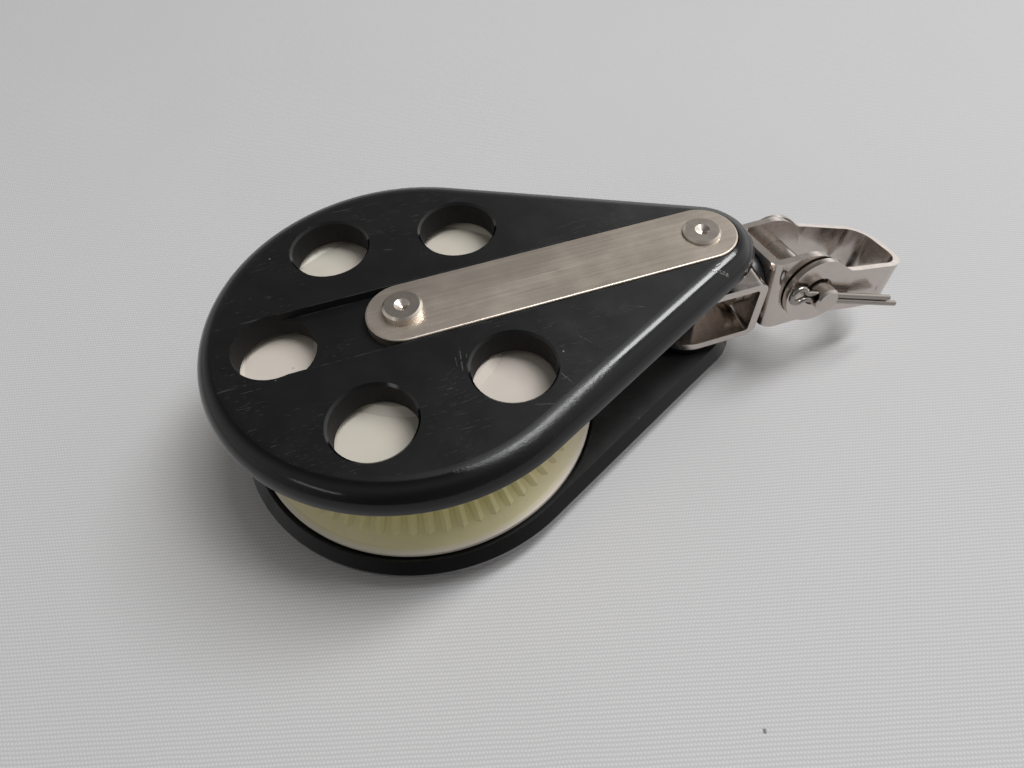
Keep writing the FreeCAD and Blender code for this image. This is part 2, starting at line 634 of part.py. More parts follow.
def shackle_bow():
    """Bow of bent strip: round ears outside the fork, legs that close in, a crown."""
    body = new_body("shackle_bow", pin_frame("Sizes.shackle_angle"))
    gap = "(Sizes.fork_half + Sizes.shackle_gap)"
    outer = "(%s + Sizes.shackle_wall)" % gap
    waist = "(Sizes.leg_waist + Sizes.shackle_wall)"
    start = "(Sizes.ear_radius + Sizes.leg_lead)"
    finish = "(Sizes.crown_reach - Sizes.crown_bend - Sizes.crown_lead)"
    ear = sketch_on(body, "XY_Plane")
    circle(ear, "0", "0", "Sizes.ear_radius")
    pad(body, ear, "2 * " + outer, both_ways=True)
    legs = sketch_on(body, "XY_Plane")
    polygon(legs, (
        ("0", "-Sizes.leg_half"),
        ("Sizes.crown_reach", "-Sizes.leg_half"),
        ("Sizes.crown_reach", "Sizes.leg_half"),
        ("0", "Sizes.leg_half"),
    ))
    block = pad(body, legs, "2 * " + outer, both_ways=True)
    doc.recompute()
    neck_x = math.sqrt(size("ear_radius") ** 2 - size("leg_half") ** 2)
    neck = dress(body, "Fillet", block, lambda edge: on_level(edge, "X", neck_x), "Sizes.neck_round")
    profile = sketch_on(body, "XZ_Plane")
    inner_end = "Sizes.crown_reach - Sizes.shackle_wall"
    mouth = "-2 * Sizes.ear_radius"
    polygon(profile, (
        (mouth, "-" + gap),
        (start, "-" + gap),
        (finish, "-Sizes.leg_waist"),
        (inner_end, "-Sizes.leg_waist"),
        (inner_end, "Sizes.leg_waist"),
        (finish, "Sizes.leg_waist"),
        (start, gap),
        (mouth, gap),
    ))
    beyond = "Sizes.crown_reach + Sizes.shackle_wall"
    for sign in ("", "-"):
        polygon(profile, (
            (start, sign + outer),
            (finish, sign + waist),
            (beyond, sign + waist),
            (beyond, "%s2 * %s" % (sign, outer)),
            (start, "%s2 * %s" % (sign, outer)),
        ))
    shaped = pocket(body, profile, "3 * Sizes.ear_radius", both_ways=True)
    crown_x = size("crown_reach")
    inner_x = crown_x - size("shackle_wall")
    turns = (profile.evalExpression(start), profile.evalExpression(finish))

    def across(edge):
        box = edge.BoundBox
        return box.XLength < TINY and box.ZLength < TINY
    bends = (
        (lambda edge: across(edge) and on_level(edge, "X", crown_x), "Sizes.crown_bend"),
        (lambda edge: across(edge) and on_level(edge, "X", inner_x), "Sizes.crown_bend - Sizes.shackle_wall"),
        (lambda edge: across(edge) and any(on_level(edge, "X", turn) for turn in turns), "Sizes.leg_bend"),
    )
    for chosen, radius in bends:
        shaped = dress(body, "Fillet", shaped, chosen, radius)
    hole = sketch_on(body, "XY_Plane")
    circle(hole, "0", "0", "Sizes.shackle_hole")
    pocket(body, hole, "3 * " + outer, both_ways=True)


def shackle_pin():
    """Headed pin through fork and shackle, cross drilled for the split pin."""
    ear_face = "(Sizes.fork_half + Sizes.shackle_gap + Sizes.shackle_wall + Sizes.end_play)"
    head = "(%s + Sizes.pin_head_wall)" % ear_face
    body = turned("shackle_pin", (
        ("0", "-" + head),
        ("Sizes.pin_head - Sizes.pin_edge", "-" + head),
        ("Sizes.pin_head", "-(%s - Sizes.pin_edge)" % head),
        ("Sizes.pin_head", "-" + ear_face),
        ("Sizes.pin_radius", "-" + ear_face),
        ("Sizes.pin_radius", "Sizes.pin_front - Sizes.pin_edge"),
        ("Sizes.pin_radius - Sizes.pin_edge", "Sizes.pin_front"),
        ("0", "Sizes.pin_front"),
    ), pin_frame("Sizes.cotter_angle"))
    cross = sketch_on(body, "YZ_Plane")
    legs = "2 * Sizes.cotter_wire + Sizes.cotter_gap"
    circle(cross, "0", "Sizes.cotter_place", legs + " + Sizes.cotter_clear")
    pocket(body, cross, "3 * Sizes.pin_radius", both_ways=True)


def split_pin():
    """One wire: long leg, neck, round eye, neck and short leg."""
    body = new_body("split_pin", pin_frame("Sizes.cotter_angle"))
    path = sketch_on(body, "XY_Plane", "Sizes.cotter_place")
    offset = "(Sizes.cotter_wire + Sizes.cotter_gap)"
    leg = path.evalExpression(offset)
    eye_x = -size("cotter_eye_reach")
    eye = size("cotter_eye")
    neck = size("cotter_neck")
    neck_x = eye_x + math.sqrt((eye + neck) ** 2 - (leg + neck) ** 2)
    lean = math.atan2(leg + neck, neck_x - eye_x)
    eye_spot = FreeCAD.Vector(eye_x, 0, 0)
    low_neck = FreeCAD.Vector(neck_x, -leg - neck, 0)
    high_neck = FreeCAD.Vector(neck_x, leg + neck, 0)
    low_leg = FreeCAD.Vector(neck_x, -leg, 0)
    high_leg = FreeCAD.Vector(neck_x, leg, 0)
    path.addGeometry(Part.LineSegment(FreeCAD.Vector(size("cotter_long"), -leg, 0), low_leg))
    path.addGeometry(arc(low_neck, neck, math.pi / 2, math.pi - lean))
    path.addGeometry(arc(eye_spot, eye, lean, 2 * math.pi - lean))
    path.addGeometry(arc(high_neck, neck, math.pi + lean, 3 * math.pi / 2))
    path.addGeometry(Part.LineSegment(high_leg, FreeCAD.Vector(size("cotter_short"), leg, 0)))
    path.addConstraint(Sketcher.Constraint("Tangent", 0, 2, 1, 1))
    path.addConstraint(Sketcher.Constraint("Tangent", 1, 2, 2, 2))
    path.addConstraint(Sketcher.Constraint("Tangent", 2, 1, 3, 1))
    path.addConstraint(Sketcher.Constraint("Tangent", 3, 2, 4, 1))
    hold(path, 2, 3, "-Sizes.cotter_eye_reach", "0")
    bind(path, "Radius", "Sizes.cotter_eye", 2)
    bind(path, "Radius", "Sizes.cotter_neck", 1)
    bind(path, "Radius", "Sizes.cotter_neck", 3)
    hold(path, 0, 1, "Sizes.cotter_long", "-" + offset)
    hold(path, 4, 2, "Sizes.cotter_short", offset)
    path.addConstraint(Sketcher.Constraint("Horizontal", 0))
    path.addConstraint(Sketcher.Constraint("Horizontal", 4))
    section = sketch_on(body, "YZ_Plane", "Sizes.cotter_long")
    circle(section, "-" + offset, "Sizes.cotter_place", "Sizes.cotter_wire")
    wire = body.newObject("PartDesign::AdditivePipe", "split_pin_wire")
    wire.Profile = section
    wire.Spine = (path, [])


def hub_fittings():
    """Plain bearing, thrust washers and cover of the sheave."""
    inner = "Sizes.journal_radius + Sizes.run_clear"
    low = "-Sizes.sheave_half + Sizes.end_play"
    collar("sheave_bush", inner, inner + " + Sizes.bush_wall", low, "Sizes.bush_top")
    inner = "Sizes.hub_radius + 3 * Sizes.end_play"
    collar("hub_cover", inner, "Sizes.ring_outer", "Sizes.cover_low", "Sizes.sheave_half")
    face = "(Sizes.half_gap + Sizes.recess_depth)"
    near = "(Sizes.sheave_half + Sizes.end_play)"
    seat = " + Sizes.run_clear"
    outer = "Sizes.washer_outer"
    collar("thrust_washer_upper", "Sizes.hub_radius" + seat, outer, near, face)
    collar("thrust_washer_lower", "Sizes.journal_radius" + seat, outer, "-" + face, "-" + near)


def export():
    doc.recompute()
    for item in doc.Objects:
        if "Invalid" in item.State or "Error" in item.State:
            raise RuntimeError("%s did not build: %s" % (item.Name, item.State))
    for part in sub_parts:
        shape = part.Shape
        if shape.isNull() or not shape.isValid() or len(shape.Solids) != 1:
            raise RuntimeError("%s is not one sound solid" % part.Label)
    os.makedirs("parts", exist_ok=True)
    for part in sub_parts:
        part.Shape.exportStep("parts/%s.step" % part.Label)
        print("%s %.1f" % (part.Label, part.Shape.Volume))


fill_sheet()
upside_down = placed("0; 0; 0", turn_about("1; 0; 0", "180"))
cheek("cheek_upper")
cheek("cheek_lower", upside_down)
strap("strap_upper")
strap("strap_lower", upside_down)
rivet("axle_rivet", "Sizes.axle_shank", "Sizes.axle_stand")
at_head = placed("Sizes.head_reach; 0; 0", turn_about("0; 0; 1", "0"))
rivet("head_rivet", "Sizes.head_shank", "Sizes.head_stand", at_head)
leg_gap = "(Sizes.bracket_half - Sizes.strip_wall)"
collar("head_spacer", "Sizes.head_shank", "Sizes.spacer_radius", "-" + leg_gap, leg_gap, at_head)
clevis("head_bracket", "Sizes.head_reach", BRACKET_BASE, "Sizes.bracket_width",
       "Sizes.bracket_half", "-", ("Sizes.head_reach", "Sizes.head_shank"),
       "Sizes.post_shank + Sizes.run_clear")
sheave()
ratchet_ring()
hub_fittings()
ratchet_carrier()
pawl("front", "0")
pawl("rear", "180")
swivel()
clevis("swivel_fork", FORK_NOSE, FORK_BASE, "Sizes.fork_radius",
       "Sizes.fork_half", "+", (PIN_PLACE, "Sizes.pin_radius + Sizes.run_clear"),
       "Sizes.post_shank", placed("0; 0; 0", fork_turn()))
shackle_bow()
shackle_pin()
split_pin()
export()
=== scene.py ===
import math

import bmesh
import bpy
from mathutils import Matrix, Vector

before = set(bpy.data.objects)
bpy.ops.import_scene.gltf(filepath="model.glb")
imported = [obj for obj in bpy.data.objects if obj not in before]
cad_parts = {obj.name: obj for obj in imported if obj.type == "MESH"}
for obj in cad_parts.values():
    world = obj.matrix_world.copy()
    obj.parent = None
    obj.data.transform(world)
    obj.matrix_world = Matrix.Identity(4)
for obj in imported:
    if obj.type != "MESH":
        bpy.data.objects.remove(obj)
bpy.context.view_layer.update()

MM = 0.001

# Table
FLOOR_LEVEL = -15.35 * MM
FLOOR_REACH = 2.5
THREAD_PITCH = 0.58 * MM
THREADS_CLOSER = 1.15
FIBRE = ((30.6, -62.8), (30.35, -63.5), 0.34)

# Camera, at the photograph's viewing angle
CAMERA_PLACE = Vector((-3.37, -70.61, 88.97)) * MM
CAMERA_TURN = 0.261789
CAMERA_DROP = 0.940560
CAMERA_ROLL = -0.064598
CAMERA_LENS = 24.6
SENSOR_WIDTH = 36.0
CLIP_START = 0.004
CLIP_END = 20.0
CLOTH_LEAN = CAMERA_TURN - 0.03

# Lamps: where each stands as seen from the block, and the way its long side lies
DAYLIGHT = (0.98, 0.99, 1.0)
LAMPS = {
    "window": {
        "direction": (0.46, 0.06, 0.88), "along": (0.32, 0.13, -0.17),
        "distance": 1.20, "length": 0.84, "width": 0.22, "watts": 10.7,
    },
    "lamp": {
        "direction": (0.45, -0.20, 0.87), "along": (0.61, -0.04, -0.50),
        "distance": 0.75, "length": 0.17, "width": 0.11, "watts": 0.80,
    },
    "left_glint": {
        "direction": (-0.77, -0.41, 0.49), "along": (0.40, -0.90, 0.0),
        "distance": 0.75, "length": 0.26, "width": 0.07, "watts": 0.12,
    },
}
ROOM_TINT = (1.0, 0.985, 0.965)
ROOM_DARK_WAY = (0.05, 0.50, 0.86)

# Marks seen from above, in millimetres: start, end and half width of each
TOP_MARKS = (
    ((5.9, -9.0), (5.2, -13.6), 0.12),
    ((6.6, -10.2), (5.9, -13.4), 0.08),
    ((4.9, -10.5), (4.7, -12.5), 0.06),
    ((17.5, -17.8), (19.4, -22.0), 0.10),
    ((12.6, -21.7), (15.4, -22.6), 0.06),
    ((-3.0, 14.6), (2.2, 13.1), 0.05),
    ((30.0, -9.6), (33.5, -11.2), 0.05),
    ((22.0, -12.5), (24.8, -16.4), 0.05),
)
EDGE_DENTS = (
    ((45.2, -7.6), (48.0, -8.6), 0.35),
    ((46.3, -7.1), (47.7, -6.6), 0.22),
)
CHEEK_TOP_FROM = 8 * MM
CHANNEL_EDGE = 5.75 * MM

# Zones of the finishes, each from where it starts to where it is full
CHEEK_FLATNESS = (0.955, 0.999)
BORED_STEEPNESS = (0.6, 0.3)
BORED_WITHIN = (27.5 * MM, 26.5 * MM)
SHEEN_TOWARDS_HEAD = (8 * MM, 40 * MM)
RUBBED_TOWARDS_HEAD = (2 * MM, 34 * MM)
CHANNEL_GLINT_WIDTH = (0.22 * MM, 0.05 * MM)
WORN_FROM_TAIL = (-4 * MM, 6 * MM)
WORN_FROM_HEAD = (32 * MM, 16 * MM)
WORN_NEAR_SIDE = (-14 * MM, -20 * MM)
WORN_STEEPNESS = (0.4, 0.7)
STRAP_SHADE_TOWARDS_HEAD = (8 * MM, 42 * MM)
GROOVE_LEVEL = (7.7 * MM, 7.3 * MM)
GROOVE_RADIUS = (28.4 * MM, 22.0 * MM)
GROOVE_BOTTOM = (23.5 * MM, 19.5 * MM)
GROOVE_LIT_TOWARDS_HEAD = (4 * MM, 24 * MM)

# Colours of the finishes
CHEEK = {
    "deep": (0.0015, 0.0015, 0.0018),
    "hazy": (0.0045, 0.0045, 0.005),
    "head_sheen": (0.012, 0.012, 0.0122),
    "rubbed": (0.024, 0.024, 0.025),
    "scuffed": (0.13, 0.13, 0.125),
    "channel_glint": (0.07, 0.07, 0.068),
    "dent_highlight": (0.30, 0.30, 0.295),
    "dust": (0.32, 0.31, 0.29),
}
STRAP = {
    "dark": (0.56, 0.490, 0.420),
    "light": (0.61, 0.540, 0.468),
    "dull": (0.49, 0.418, 0.352),
    "head": (0.41, 0.355, 0.300),
    "mark": (0.72, 0.70, 0.67),
}
STEEL_RUB = (0.34, 0.29, 0.25)
CREAM = {
    "side_dark": (0.590, 0.542, 0.472),
    "side_light": (0.640, 0.592, 0.520),
    "pink": (0.66, 0.550, 0.500),
    "green": (0.590, 0.575, 0.450),
    "groove_dark": (0.530, 0.480, 0.185),
    "groove_light": (0.610, 0.552, 0.235),
    "groove_lit": (0.62, 0.530, 0.340),
    "groove_bottom": (0.55, 0.500, 0.300),
    "grime": (0.34, 0.30, 0.20),
    "speck": (0.16, 0.13, 0.09),
}
CLOTH = {
    "shade": (0.575, 0.568, 0.572),
    "light": (0.610, 0.603, 0.605),
    "between": (0.38, 0.374, 0.374),
    "slub": (0.50, 0.49, 0.49),
    "lint": (0.05, 0.045, 0.04),
}
SPACER = ((0.008, 0.008, 0.008), (0.022, 0.022, 0.021))
BRONZE = ((0.16, 0.09, 0.04), (0.52, 0.33, 0.15))
WASHER = ((0.030, 0.030, 0.033), (0.060, 0.060, 0.064))

# Polished and satin steels: darkest and lightest colour, least and most roughness
STEELS = {
    "polished_steel": ((0.52, 0.470, 0.435), (0.63, 0.575, 0.535), 0.13, 0.26),
    "rivet_steel": ((0.64, 0.575, 0.51), (0.68, 0.615, 0.55), 0.26, 0.30),
    "pin_steel": ((0.48, 0.435, 0.40), (0.59, 0.540, 0.50), 0.18, 0.30),
    "wire_steel": ((0.27, 0.245, 0.225), (0.38, 0.35, 0.32), 0.18, 0.28),
    "carrier_steel": ((0.40, 0.39, 0.38), (0.50, 0.49, 0.48), 0.3, 0.42),
    "spring_steel": ((0.34, 0.34, 0.35), (0.44, 0.44, 0.45), 0.22, 0.34),
}
STEEL_RIPPLE = 0.02 * MM
STEEL_WEAR = 0.4
RIVET_RIPPLE = 0.003 * MM
RIVET_WEAR = 0.0


class Graph:
    """A node tree, with short calls for the nodes that the finishes and the room use."""

    def __init__(self, owner, coordinates):
        owner.use_nodes = True
        self.tree = owner.node_tree
        self.coords = self.add("ShaderNodeTexCoord").outputs[coordinates]

    def add(self, kind, values=None, **settings):
        node = self.tree.nodes.new(kind)
        for key, value in settings.items():
            setattr(node, key, value)
        for key, value in (values or {}).items():
            self.feed(node.inputs[key], value)
        return node

    def feed(self, socket, value):
        """Links a socket to another, or sets its own value."""
        if isinstance(value, bpy.types.NodeSocket):
            self.tree.links.new(value, socket)
        elif hasattr(value, "__len__") and socket.type == "RGBA":
            socket.default_value = (*value, 1.0)
        else:
            socket.default_value = value

    def parts(self, vector):
        return self.add("ShaderNodeSeparateXYZ", {"Vector": vector}).outputs

    def math(self, operation, first, second=0.0, clamp=False):
        values = {0: first, 1: second}
        node = self.add("ShaderNodeMath", values, operation=operation, use_clamp=clamp)
        return node.outputs["Value"]

    def product(self, first, *others):
        for other in others:
            first = self.math("MULTIPLY", first, other)
        return first

    def total(self, first, *others):
        for other in others:
            first = self.math("ADD", first, other)
        return first

    def most(self, first, *others):
        for other in others:
            first = self.math("MAXIMUM", first, other)
        return first

    def span(self, value, low, high, start=0.0, end=1.0, smooth=True):
        """Maps low to start and high to end, and holds those values beyond."""
        kind = "SMOOTHSTEP" if smooth else "LINEAR"
        values = {"Value": value, "From Min": low, "From Max": high}
        values.update({"To Min": start, "To Max": end})
        return self.add("ShaderNodeMapRange", values, interpolation_type=kind).outputs["Result"]


class Finish(Graph):
    """A material's graph, with the textures and marks that its shader takes."""

    def __init__(self, name):
        self.material = bpy.data.materials.new(name)
        super().__init__(self.material, "Object")
        self.shader = self.tree.nodes["Principled BSDF"]

    def set(self, **values):
        for key, value in values.items():
            self.feed(self.shader.inputs[key.replace("_", " ")], value)

    def stretched(self, scale=(1, 1, 1), turn=(0, 0, 0), place=(0, 0, 0)):
        values = {"Vector": self.coords, "Scale": scale, "Rotation": turn, "Location": place}
        return self.add("ShaderNodeMapping", values).outputs["Vector"]

    def noise(self, scale, detail=3.0, rough=0.5, vector=None):
        values = {"Vector": vector or self.coords, "Scale": scale}
        values.update({"Detail": detail, "Roughness": rough})
        return self.add("ShaderNodeTexNoise", values).outputs["Fac"]

    def cells(self, scale, output="Distance"):
        values = {"Vector": self.coords, "Scale": scale}
        return self.add("ShaderNodeTexVoronoi", values).outputs[output]

    def blend(self, factor, first, second):
        node = self.add("ShaderNodeMix", {0: factor}, data_type="RGBA")
        self.feed(node.inputs[6], first)
        self.feed(node.inputs[7], second)
        return node.outputs[2]

    def bump(self, height, depth, below=None):
        values = {"Height": height, "Distance": depth}
        if below is not None:
            values["Normal"] = below
        return self.add("ShaderNodeBump", values).outputs["Normal"]

    def radius(self):
        """Distance from the axle."""
        place = self.parts(self.coords)
        squares = [self.product(place[axis], place[axis]) for axis in ("X", "Y")]
        return self.math("SQRT", self.total(*squares))

    def specks(self, scale, size, rarity, channel="X"):
        """Small round dots, in the few cells whose random colour is high enough."""
        dots = self.span(self.cells(scale), *size)
        chance = self.parts(self.cells(scale, "Color"))[channel]
        return self.product(dots, self.span(chance, *rarity))

    def scratches(self, angle, length, width, amount, patch=70.0, place=(0, 0, 0)):
        """Sparse fine lines at one angle, in metres, where a broad noise lets them show."""
        vector = self.stretched((1 / length, 1 / width, 1 / width), (0, 0, angle), place)
        lines = self.span(self.noise(1.0, 1.0, 0.5, vector), 0.72 - amount, 0.77 - amount)
        where = self.span(self.noise(patch, 2.0, 0.5), 0.5, 0.62)
        return self.product(lines, where)

    def streak(self, start, end, half, rough=900.0, above=CHEEK_TOP_FROM):
        """One broken mark between two points seen from above, in millimetres."""
        run = Vector(end) - Vector(start)
        values = {"Vector": self.coords, "Location": (start[0] * MM, start[1] * MM, 0.0)}
        values["Rotation"] = (0.0, 0.0, math.atan2(run.y, run.x))
        values["Scale"] = (run.length * MM, half * MM, 1.0)
        mapping = self.add("ShaderNodeMapping", values, vector_type="TEXTURE")
        place = self.parts(mapping.outputs["Vector"])
        wide = self.span(self.math("ABSOLUTE", place["Y"]), 1.0, 0.3)
        ends = self.product(self.span(place["X"], 0.0, 0.15), self.span(place["X"], 1.0, 0.8))
        broken = self.span(self.noise(rough, 3.0, 0.6), 0.42, 0.58)
        top = self.span(place["Z"], above, above + MM)
        return self.product(wide, ends, broken, top)


def moulded_black():
    """Satin black nylon: a painted sheen makes the flats lighter towards the head; dust specks
    and scuffs on the flats, rubbed glossy where it is rounded.
    """
    g = Finish("black_cheek")
    normal = g.add("ShaderNodeNewGeometry").outputs["Normal"]
    facing = g.math("ABSOLUTE", g.parts(normal)["Z"])
    flat = g.span(facing, *CHEEK_FLATNESS)
    place = g.parts(g.coords)

    base = g.blend(g.noise(55.0, 4.0, 0.6), CHEEK["deep"], CHEEK["hazy"])
    # Painted sheen: the flats are made lighter towards the head, where the light glances off
    # them.
    head_sheen = g.product(g.span(place["X"], *SHEEN_TOWARDS_HEAD), flat)
    base = g.blend(head_sheen, base, CHEEK["head_sheen"])
    smears = g.span(g.noise(85.0, 4.0, 0.65), 0.45, 0.75)
    rubbed = g.product(smears, g.span(place["X"], *RUBBED_TOWARDS_HEAD), flat)
    base = g.blend(g.product(rubbed, 0.7), base, CHEEK["rubbed"])

    marks = g.scratches(0.5, 3 * MM, 0.07 * MM, 0.0)
    more = g.scratches(-0.9, 2 * MM, 0.06 * MM, 0.0, 95.0, (0.3, 0.1, 0.0))
    scuff = g.product(g.most(marks, more), flat)
    scuff = g.most(scuff, *[g.streak(*mark) for mark in TOP_MARKS])
    base = g.blend(g.product(scuff, 0.40), base, CHEEK["scuffed"])

    # Painted highlight: a thin lighter line on the flats along both edges of the strap channel,
    # standing in for a small bevel catching the light.
    from_channel = g.math("SUBTRACT", g.math("ABSOLUTE", place["Y"]), CHANNEL_EDGE)
    channel_glint = g.span(g.math("ABSOLUTE", from_channel), *CHANNEL_GLINT_WIDTH)
    channel_glint = g.product(channel_glint, flat, g.span(g.noise(420.0, 3.0, 0.6), 0.38, 0.6))
    base = g.blend(g.product(channel_glint, 0.35), base, CHEEK["channel_glint"])
    # The two dents on the head end's rounded edge are real and pressed in by the bump further
    # down, but their light colour is a painted highlight.
    dent = g.most(*[g.streak(*mark, 1500.0) for mark in EDGE_DENTS])
    base = g.blend(g.product(dent, 0.8), base, CHEEK["dent_highlight"])
    dust = g.specks(520.0, (0.085, 0.05), (0.965, 0.97))
    base = g.blend(g.product(dust, 0.6), base, CHEEK["dust"])

    bored = g.product(g.span(facing, *BORED_STEEPNESS), g.span(g.radius(), *BORED_WITHIN))
    worn = g.product(
        g.span(place["X"], *WORN_FROM_TAIL),
        g.span(place["X"], *WORN_FROM_HEAD),
        g.span(place["Y"], *WORN_NEAR_SIDE),
        g.span(facing, *WORN_STEEPNESS),
    )
    gloss = g.total(
        g.span(flat, 0.0, 1.0, 0.11, 0.40),
        g.product(bored, 0.6),
        g.span(g.noise(240.0, 4.0, 0.6), 0.3, 0.7, -0.02, 0.04),
    )
    gloss = g.math("ADD", gloss, g.product(scuff, 0.12), clamp=True)
    gloss = g.total(gloss, g.product(worn, g.span(flat, 1.0, 0.0, 0.0, 0.08)))

    skin = g.bump(g.noise(2600.0, 4.0, 0.65), 0.0045 * MM)
    grained = g.product(worn, g.span(flat, 1.0, 0.75))
    skin = g.bump(g.product(g.noise(2400.0, 3.0, 0.75), grained), 0.05 * MM, skin)
    skin = g.bump(g.noise(210.0, 2.0, 0.5), 0.02 * MM, skin)
    skin = g.bump(g.most(scuff, dent), -0.01 * MM, skin)
    g.set(Base_Color=base, Roughness=gloss, Normal=skin)
    g.shader.inputs["Specular IOR Level"].default_value = 0.38
    return g.material


def dull_black():
    """Plain black spacer tube, a little greyer and rougher than the cheeks."""
    g = Finish("black_spacer")
    base = g.blend(g.noise(300.0, 4.0), *SPACER)
    gloss = g.span(g.noise(900.0, 3.0), 0.3, 0.7, 0.34, 0.5)
    g.set(Base_Color=base, Roughness=gloss, Normal=g.bump(g.noise(2200.0, 3.0), 0.01 * MM))
    return g.material


def brushed_steel():
    """Stainless strip with a fine lengthwise grain, a few handling marks and duller patches."""
    g = Finish("strap_steel")
    grain = g.noise(1.0, 4.0, 0.65, g.stretched((60.0, 5200.0, 900.0)))
    patch = g.noise(130.0, 4.0, 0.6)
    base = g.blend(grain, STRAP["dark"], STRAP["light"])
    base = g.blend(g.span(patch, 0.5, 0.8, 0.0, 0.25), base, STRAP["dull"])
    # Painted shade: the strap's colour is darkened towards the head end.
    darker = g.span(g.parts(g.coords)["X"], *STRAP_SHADE_TOWARDS_HEAD, 0.0, 0.65)
    base = g.blend(darker, base, STRAP["head"])
    marks = g.scratches(0.35, 4 * MM, 0.06 * MM, 0.05, 160.0)
    base = g.blend(g.product(marks, 0.5), base, STRAP["mark"])
    gloss = g.span(grain, 0.3, 0.7, 0.39, 0.44)
    gloss = g.total(gloss, g.span(patch, 0.35, 0.75, -0.02, 0.04))
    skin = g.bump(grain, 0.0015 * MM)
    skin = g.bump(g.noise(2600.0, 2.0, 0.5), 0.005 * MM, skin)
    g.set(Base_Color=base, Metallic=1.0, Roughness=gloss, Normal=skin)
    g.shader.inputs["Anisotropic"].default_value = 0.1
    return g.material


def bright_steel(name, ripple=STEEL_RIPPLE, wear=STEEL_WEAR):
    """Barrel-polished stainless: soft ripples, fine random scratches and faint smears."""
    dark, light, gloss_low, gloss_high = STEELS[name]
    g = Finish(name)
    base = g.blend(g.noise(170.0, 4.0, 0.6), dark, light)
    marks = g.scratches(0.7, 3 * MM, 0.05 * MM, 0.06, 240.0)
    other = g.scratches(-0.4, 2 * MM, 0.04 * MM, 0.06, 300.0, (0.2, 0.5, 0.1))
    rub = g.most(marks, other)
    base = g.blend(g.product(rub, wear), base, STEEL_RUB)
    gloss = g.span(g.noise(420.0, 5.0, 0.65), 0.3, 0.72, gloss_low, gloss_high)
    gloss = g.math("ADD", gloss, g.product(rub, 0.35 * wear), clamp=True)
    skin = g.bump(g.noise(260.0, 2.0, 0.5), ripple)
    skin = g.bump(g.noise(3600.0, 2.0, 0.5), 0.15 * ripple, skin)
    g.set(Base_Color=base, Metallic=1.0, Roughness=gloss, Normal=skin)
    return g.material


def cream_plastic():
    """Ivory acetal: painted darker and yellower in the groove for its shade and yellow bounce
    light, and paler towards the head where the light comes from; grubby deep in the groove,
    cleaner on the side faces.
    """
    g = Finish("cream_sheave")
    place = g.parts(g.coords)
    radius = g.radius()

    sides = g.blend(g.noise(90.0, 4.0, 0.6), CREAM["side_dark"], CREAM["side_light"])
    tinge = g.noise(48.0, 3.0, 0.55, g.stretched(place=(0.31, 0.07, 0.0)))
    tinge = g.blend(g.span(tinge, 0.32, 0.68), CREAM["pink"], CREAM["green"])
    sides = g.blend(0.30, sides, tinge)

    # Painted shade: the groove walls are darker and yellower than the sides, standing in for the
    # shade and the yellow light bounced about inside the groove; less yellow towards its bottom.
    shaded_walls = g.blend(g.noise(260.0, 4.0, 0.6), CREAM["groove_dark"], CREAM["groove_light"])
    # Painted light: the groove is made paler towards the head, the side the light comes from.
    lit_groove = g.span(place["X"], *GROOVE_LIT_TOWARDS_HEAD, 0.0, 0.6)
    shaded_walls = g.blend(lit_groove, shaded_walls, CREAM["groove_lit"])
    shaded_walls = g.blend(g.span(radius, *GROOVE_BOTTOM), shaded_walls, CREAM["groove_bottom"])
    inside = g.span(g.math("ABSOLUTE", place["Z"]), *GROOVE_LEVEL)
    groove = g.product(inside, g.span(radius, *GROOVE_RADIUS, 0.55, 1.0))
    base = g.blend(groove, sides, shaded_walls)

    grime = g.noise(1.0, 4.0, 0.6, g.stretched((700.0, 700.0, 240.0)))
    grime = g.product(g.span(grime, 0.55, 0.8), g.span(groove, 0.3, 1.0, 0.05, 0.4))
    base = g.blend(grime, base, CREAM["grime"])
    specks = g.specks(600.0, (0.10, 0.06), (0.975, 0.98), "Y")
    base = g.blend(g.product(specks, 0.7), base, CREAM["speck"])

    gloss = g.span(g.noise(500.0, 3.0), 0.3, 0.7, 0.34, 0.48)
    rings = g.add("ShaderNodeCombineXYZ", {"X": g.product(radius, 5200.0)}).outputs[0]
    skin = g.bump(g.noise(1.0, 2.0, 0.5, rings), 0.006 * MM)
    skin = g.bump(g.noise(1400.0, 3.0), 0.008 * MM, skin)
    g.set(Base_Color=base, Roughness=gloss, Normal=skin)
    return g.material


def warm_metal():
    """Sintered bronze with darker pores."""
    g = Finish("bronze")
    pores = g.span(g.cells(2600.0), 0.2, 0.45)
    gloss = g.span(g.noise(700.0, 3.0), 0.3, 0.7, 0.32, 0.46)
    g.set(Base_Color=g.blend(pores, *BRONZE), Metallic=1.0, Roughness=gloss)
    g.set(Normal=g.bump(pores, 0.01 * MM))
    return g.material


def dark_washer():
    """Low-friction washer: charcoal plastic, slightly mottled."""
    g = Finish("washer_plastic")
    base = g.blend(g.noise(200.0, 3.0), *WASHER)
    gloss = g.span(g.noise(900.0, 3.0), 0.3, 0.7, 0.3, 0.42)
    g.set(Base_Color=base, Roughness=gloss, Normal=g.bump(g.noise(1500.0, 2.0), 0.01 * MM))
    return g.material


